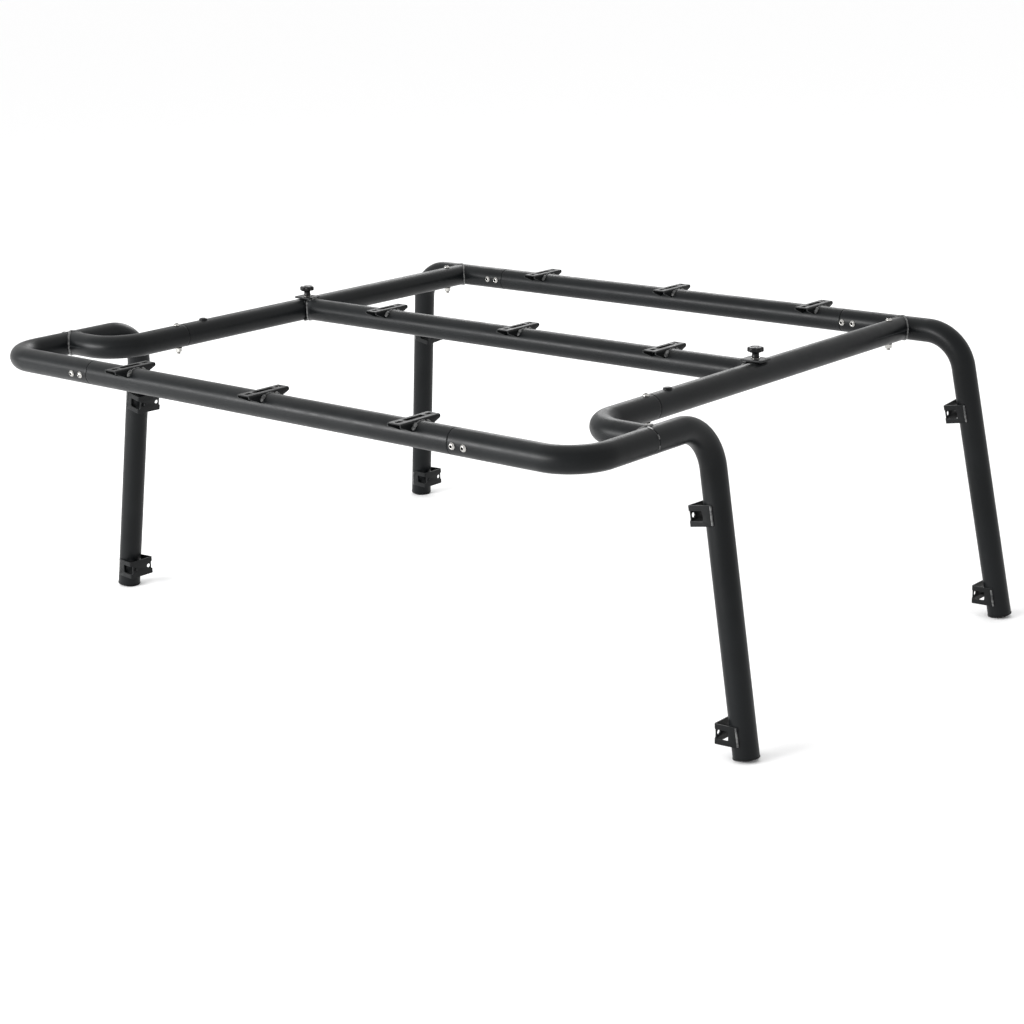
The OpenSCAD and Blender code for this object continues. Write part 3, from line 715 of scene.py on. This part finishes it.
def cleat(name, body):
    cx, cy = mid(name, 0), mid(name, 1) - Y0
    g = Geo()
    rb = CT / 2 + 1.2
    a = CW / 2 - CT / 2 - rb
    La = rb * math.pi / 2
    zc = CTOP - CT / 2
    uw = lambda z: a + La + (zc - rb - z)
    h = CL / 2
    right = [(uw(CTOP - 5.5), -h), (uw(CTOP - 7.2), -h + 1.2), (uw(10.2), -24.6)]
    for i in range(0, 25):
        y = -23.8 + 47.6 * i / 24
        z = min(math.sqrt(max(0.0, (R - 0.5) ** 2 - y * y)), zc - rb + 0.4)
        right.append((uw(max(9.6, z)), y))
    right += [(uw(10.2), 24.6), (uw(CTOP - 7.2), h - 1.2), (uw(CTOP - 5.5), h)]
    loop = right + [(-u, v) for u, v in reversed(right)]
    holes = [rounded(-6, 6, -26, 26, 5.4, 7), rounded(-4.5, 4.5, -46, -31, 3.2), rounded(-4.5, 4.5, 31, 46, 3.2)]
    bm = plate(shrink(loop, 0.3), [shrink(q, -0.3) for q in holes], CT, 0.3)

    def fn(u, v, w):
        s, q = (1 if u >= 0 else -1), abs(u)
        if q <= a:
            x, z, nx, nz = q, zc, 0.0, 1.0
        elif q <= a + La:
            f = (q - a) / rb
            x, z, nx, nz = a + rb * math.sin(f), zc - rb * (1 - math.cos(f)), math.sin(f), math.cos(f)
        else:
            x, z, nx, nz = a + rb, zc - rb - (q - a - La), 1.0, 0.0
        return V((cx + s * (x + nx * w), cy + v, z + nz * w))
    cuts = [s * (a + La * i / 6) for s in (-1, 1) for i in range(7)] + [0.0]
    fold(g, bm, cuts, fn)
    # stitch welds: two fat ones outside each wall, and a fine run under it
    for s in (-1, 1):
        for e in (-1, 1):
            pts = []
            for i in range(9):
                b = rad(29 + 33 * i / 8)
                pts.append(V((cx + s * (CW / 2 + 1.9), cy + e * (R + 1.3) * math.sin(b), (R + 1.3) * math.cos(b))))
            bead(g, pts, 4.2, pitch=4.4, seg=14, m=1, seed=cx * 0.01 + e, ref=lambda p: V((1, 0, 0)))
            pts = []
            for i in range(12):
                b = rad(2 + 26 * i / 11)
                pts.append(V((cx + s * (CW / 2 + 0.2), cy + e * (R + 0.2) * math.sin(b), (R + 0.2) * math.cos(b))))
            bead(g, pts, 1.5, m=1, seed=cx * 0.02 + e, ref=lambda p: V((1, 0, 0)))
    piece("formed_" + name, g, body, [SHEET, WELD_PAINTED_GLINT], [name])


for row, body in (("front", "frame"), ("centre", "centre_bar"), ("rear", "frame")):
    for col in ("left", "middle", "right"):
        cleat("cleat_%s_%s" % (row, col), body)


# ---------------------------------------------------------------- leg brackets
BT, BR_R, BR_W, BR_H = 3.0, 44.5, 33.0, 40.0


def bracket(name, origin, rot, mir, leg_rot):
    g = Geo()
    rb = 3.0
    th = rad(90 + 6.8)
    a = BR_W - rb - BT / 2
    La = rb * th
    LW = 44.0
    x0 = -BR_R + BT / 2
    total = a + La + LW
    hz = BR_H / 2
    loop = rounded(-total, total, -hz, hz, 2.0, 3)
    holes = [circle2(s * 20, 0, 5.0) for s in (-1, 1)] + [rounded(27.5, 58.9, -9.5, 9.5, 3.0, 4), rounded(-58.9, -27.5, -9.5, 9.5, 3.0, 4)]
    bm = plate(shrink(loop, 0.35), [shrink(q, -0.35) for q in holes], BT, 0.35)

    def fn(u, v, w):
        s, q = (1 if u >= 0 else -1), abs(u)
        if q <= a:
            x, y, nx, ny = x0, q, -1.0, 0.0
        elif q <= a + La:
            f = (q - a) / rb
            x, y, nx, ny = x0 + rb * (1 - math.cos(f)), a + rb * math.sin(f), -math.cos(f), math.sin(f)
        else:
            d = q - a - La
            x, y = x0 + rb * (1 - math.cos(th)) + d * math.sin(th), a + rb * math.sin(th) + d * math.cos(th)
            nx, ny = -math.cos(th), math.sin(th)
        return V((x + nx * w, s * (y + ny * w), v))
    cuts = [s * (a + La * i / 7) for s in (-1, 1) for i in range(8)] + [s * k for s in (-1, 1) for k in (58.9,)]
    fold(g, bm, cuts, fn)
    g.moved(lambda p: origin + rot @ p)
    # welds down both sides of the leg
    for s in (-1, 1):
        pts = []
        for i in range(16):
            z = -hz + 1 + (BR_H - 2) * i / 15
            p = V((3.5, s * (R + 1.6), z))
            pts.append(origin + leg_rot @ p)
        bead(g, pts, 2.1, m=1, seed=s * 2.2)
    piece("formed_" + name, g, "frame", [SHEET, WELD_PAINTED_GLINT], [name], mir)


I3 = Matrix.Identity(3)


def brackets(side, mir):
    sf, sr = (H - 50) / -F_DIR.z, (H - 50) / -R_DIR.z
    bracket("bracket_front_%s_upper" % side, F_TOP + F_DIR * 169, F_ROT, mir, F_ROT)
    bracket("bracket_front_%s_lower" % side, F_TOP + F_DIR * sf, I3, mir, F_ROT)
    bracket("bracket_rear_%s_upper" % side, R_TOP + R_DIR * 169, R_ROT, mir, R_ROT)
    bracket("bracket_rear_%s_lower" % side, R_TOP + R_DIR * sr, I3, mir, R_ROT)


both(brackets)


# ---------------------------------------------------------------- leg caps
def caps(side, mir):
    for nm, top, d, rot, ln in (("front", F_TOP, F_DIR, F_ROT, F_LEN), ("rear", R_TOP, R_DIR, R_ROT, R_LEN)):
        g = Geo()
        c = top + d * ln
        ax = (-d, rot @ V((1, 0, 0)), rot @ V((0, 1, 0)))
        lathe(g, c, None, [(R - 5.5, 0.35), (R - 4.5, 0.02), (CAP_R - 0.9, 0.0), (CAP_R - 0.2, 0.35), (CAP_R, 1.0), (CAP_R, 2.3), (CAP_R - 0.5, 2.9), (RI - 0.3, 2.95), (RI - 0.3, 15.0), (RI - 1.2, 16.0), (RI - 3.2, 16.0), (RI - 3.2, 3.4)], seg=80, ax=ax)
        piece("cap_%s_%s" % (nm, side), g, "frame", [CAPM], ["leg_cap_%s_%s" % (nm, side)], mir)


both(caps)

# CAD nodes that stay: inner sleeves and studs
for n, o in frame["nodes"].items():
    if "sleeve" in n or "spigot" in n:
        o.data.materials.clear()
        o.data.materials.append(SLEEVE)
    elif n.startswith("knob_stud"):
        o.data.materials.clear()
        o.data.materials.append(BRIGHT)

# ---------------------------------------------------------------- camera
cam = bpy.data.objects.new("camera", bpy.data.cameras.new("camera"))
SC.collection.objects.link(cam)
SC.camera = cam
az, el, roll = rad(41.333), rad(15.767), rad(-1.66)
fwd = V((-math.sin(az) * math.cos(el), math.cos(az) * math.cos(el), -math.sin(el)))
rt = V((math.cos(az), math.sin(az), 0))
up = rt.cross(fwd)
r2 = rt * math.cos(roll) + up * math.sin(roll)
u2 = up * math.cos(roll) - rt * math.sin(roll)
cam.matrix_world = Matrix(((r2.x, u2.x, -fwd.x, 0), (r2.y, u2.y, -fwd.y, 0), (r2.z, u2.z, -fwd.z, 0), (0, 0, 0, 1)))
cam.location = world(V((2970.06, -2661.66, 913.68)))
cam.data.sensor_width = 36
cam.data.lens = 2116.27 / 1024 * 36
cam.data.shift_x = (512 - 506.745) / 1024
cam.data.shift_y = (498.923 - 512) / 1024
cam.data.clip_start, cam.data.clip_end = 0.05, 200
cam.data.dof.use_dof = False

# ---------------------------------------------------------------- floor, light
fm = bpy.data.materials.new("pale_floor")
nt, p = nodes_of(fm)
p.inputs["Base Color"].default_value = (0.93, 0.93, 0.93, 1)
p.inputs["Roughness"].default_value = 0.9
p.inputs["Specular IOR Level"].default_value = 0.1
bm = bmesh.new()
bmesh.ops.create_grid(bm, x_segments=2, y_segments=2, size=40)
me = bpy.data.meshes.new("floor")
bm.to_mesh(me)
bm.free()
me.materials.append(fm)
floor = bpy.data.objects.new("floor", me)
SC.collection.objects.link(floor)

w = bpy.data.worlds.new("studio")
SC.world = w
w.use_nodes = True
bg = w.node_tree.nodes["Background"]
bg.inputs["Color"].default_value = (1.0, 1.0, 1.0, 1)
bg.inputs["Strength"].default_value = 1.06


def area(name, loc, target, size, sy, power):
    li = bpy.data.lights.new(name, "AREA")
    li.shape = "RECTANGLE"
    li.size, li.size_y = size, sy
    li.energy = power
    o = bpy.data.objects.new(name, li)
    o.location = loc
    o.rotation_mode = "QUATERNION"
    o.rotation_quaternion = (V(target) - V(loc)).to_track_quat("-Z", "Y")
    SC.collection.objects.link(o)
    return o


area("front_strip", (-2.2, -5.0, 1.75), (0.0, -0.3, 0.62), 4.2, 0.7, 470)
area("back_softbox", (-2.6, 3.6, 2.4), (0.2, 0.2, 0.6), 2.2, 1.2, 40)

vs = SC.view_settings
vs.view_transform = "Standard"
vs.look = "None"
vs.exposure = 0.0
vs.gamma = 1.0
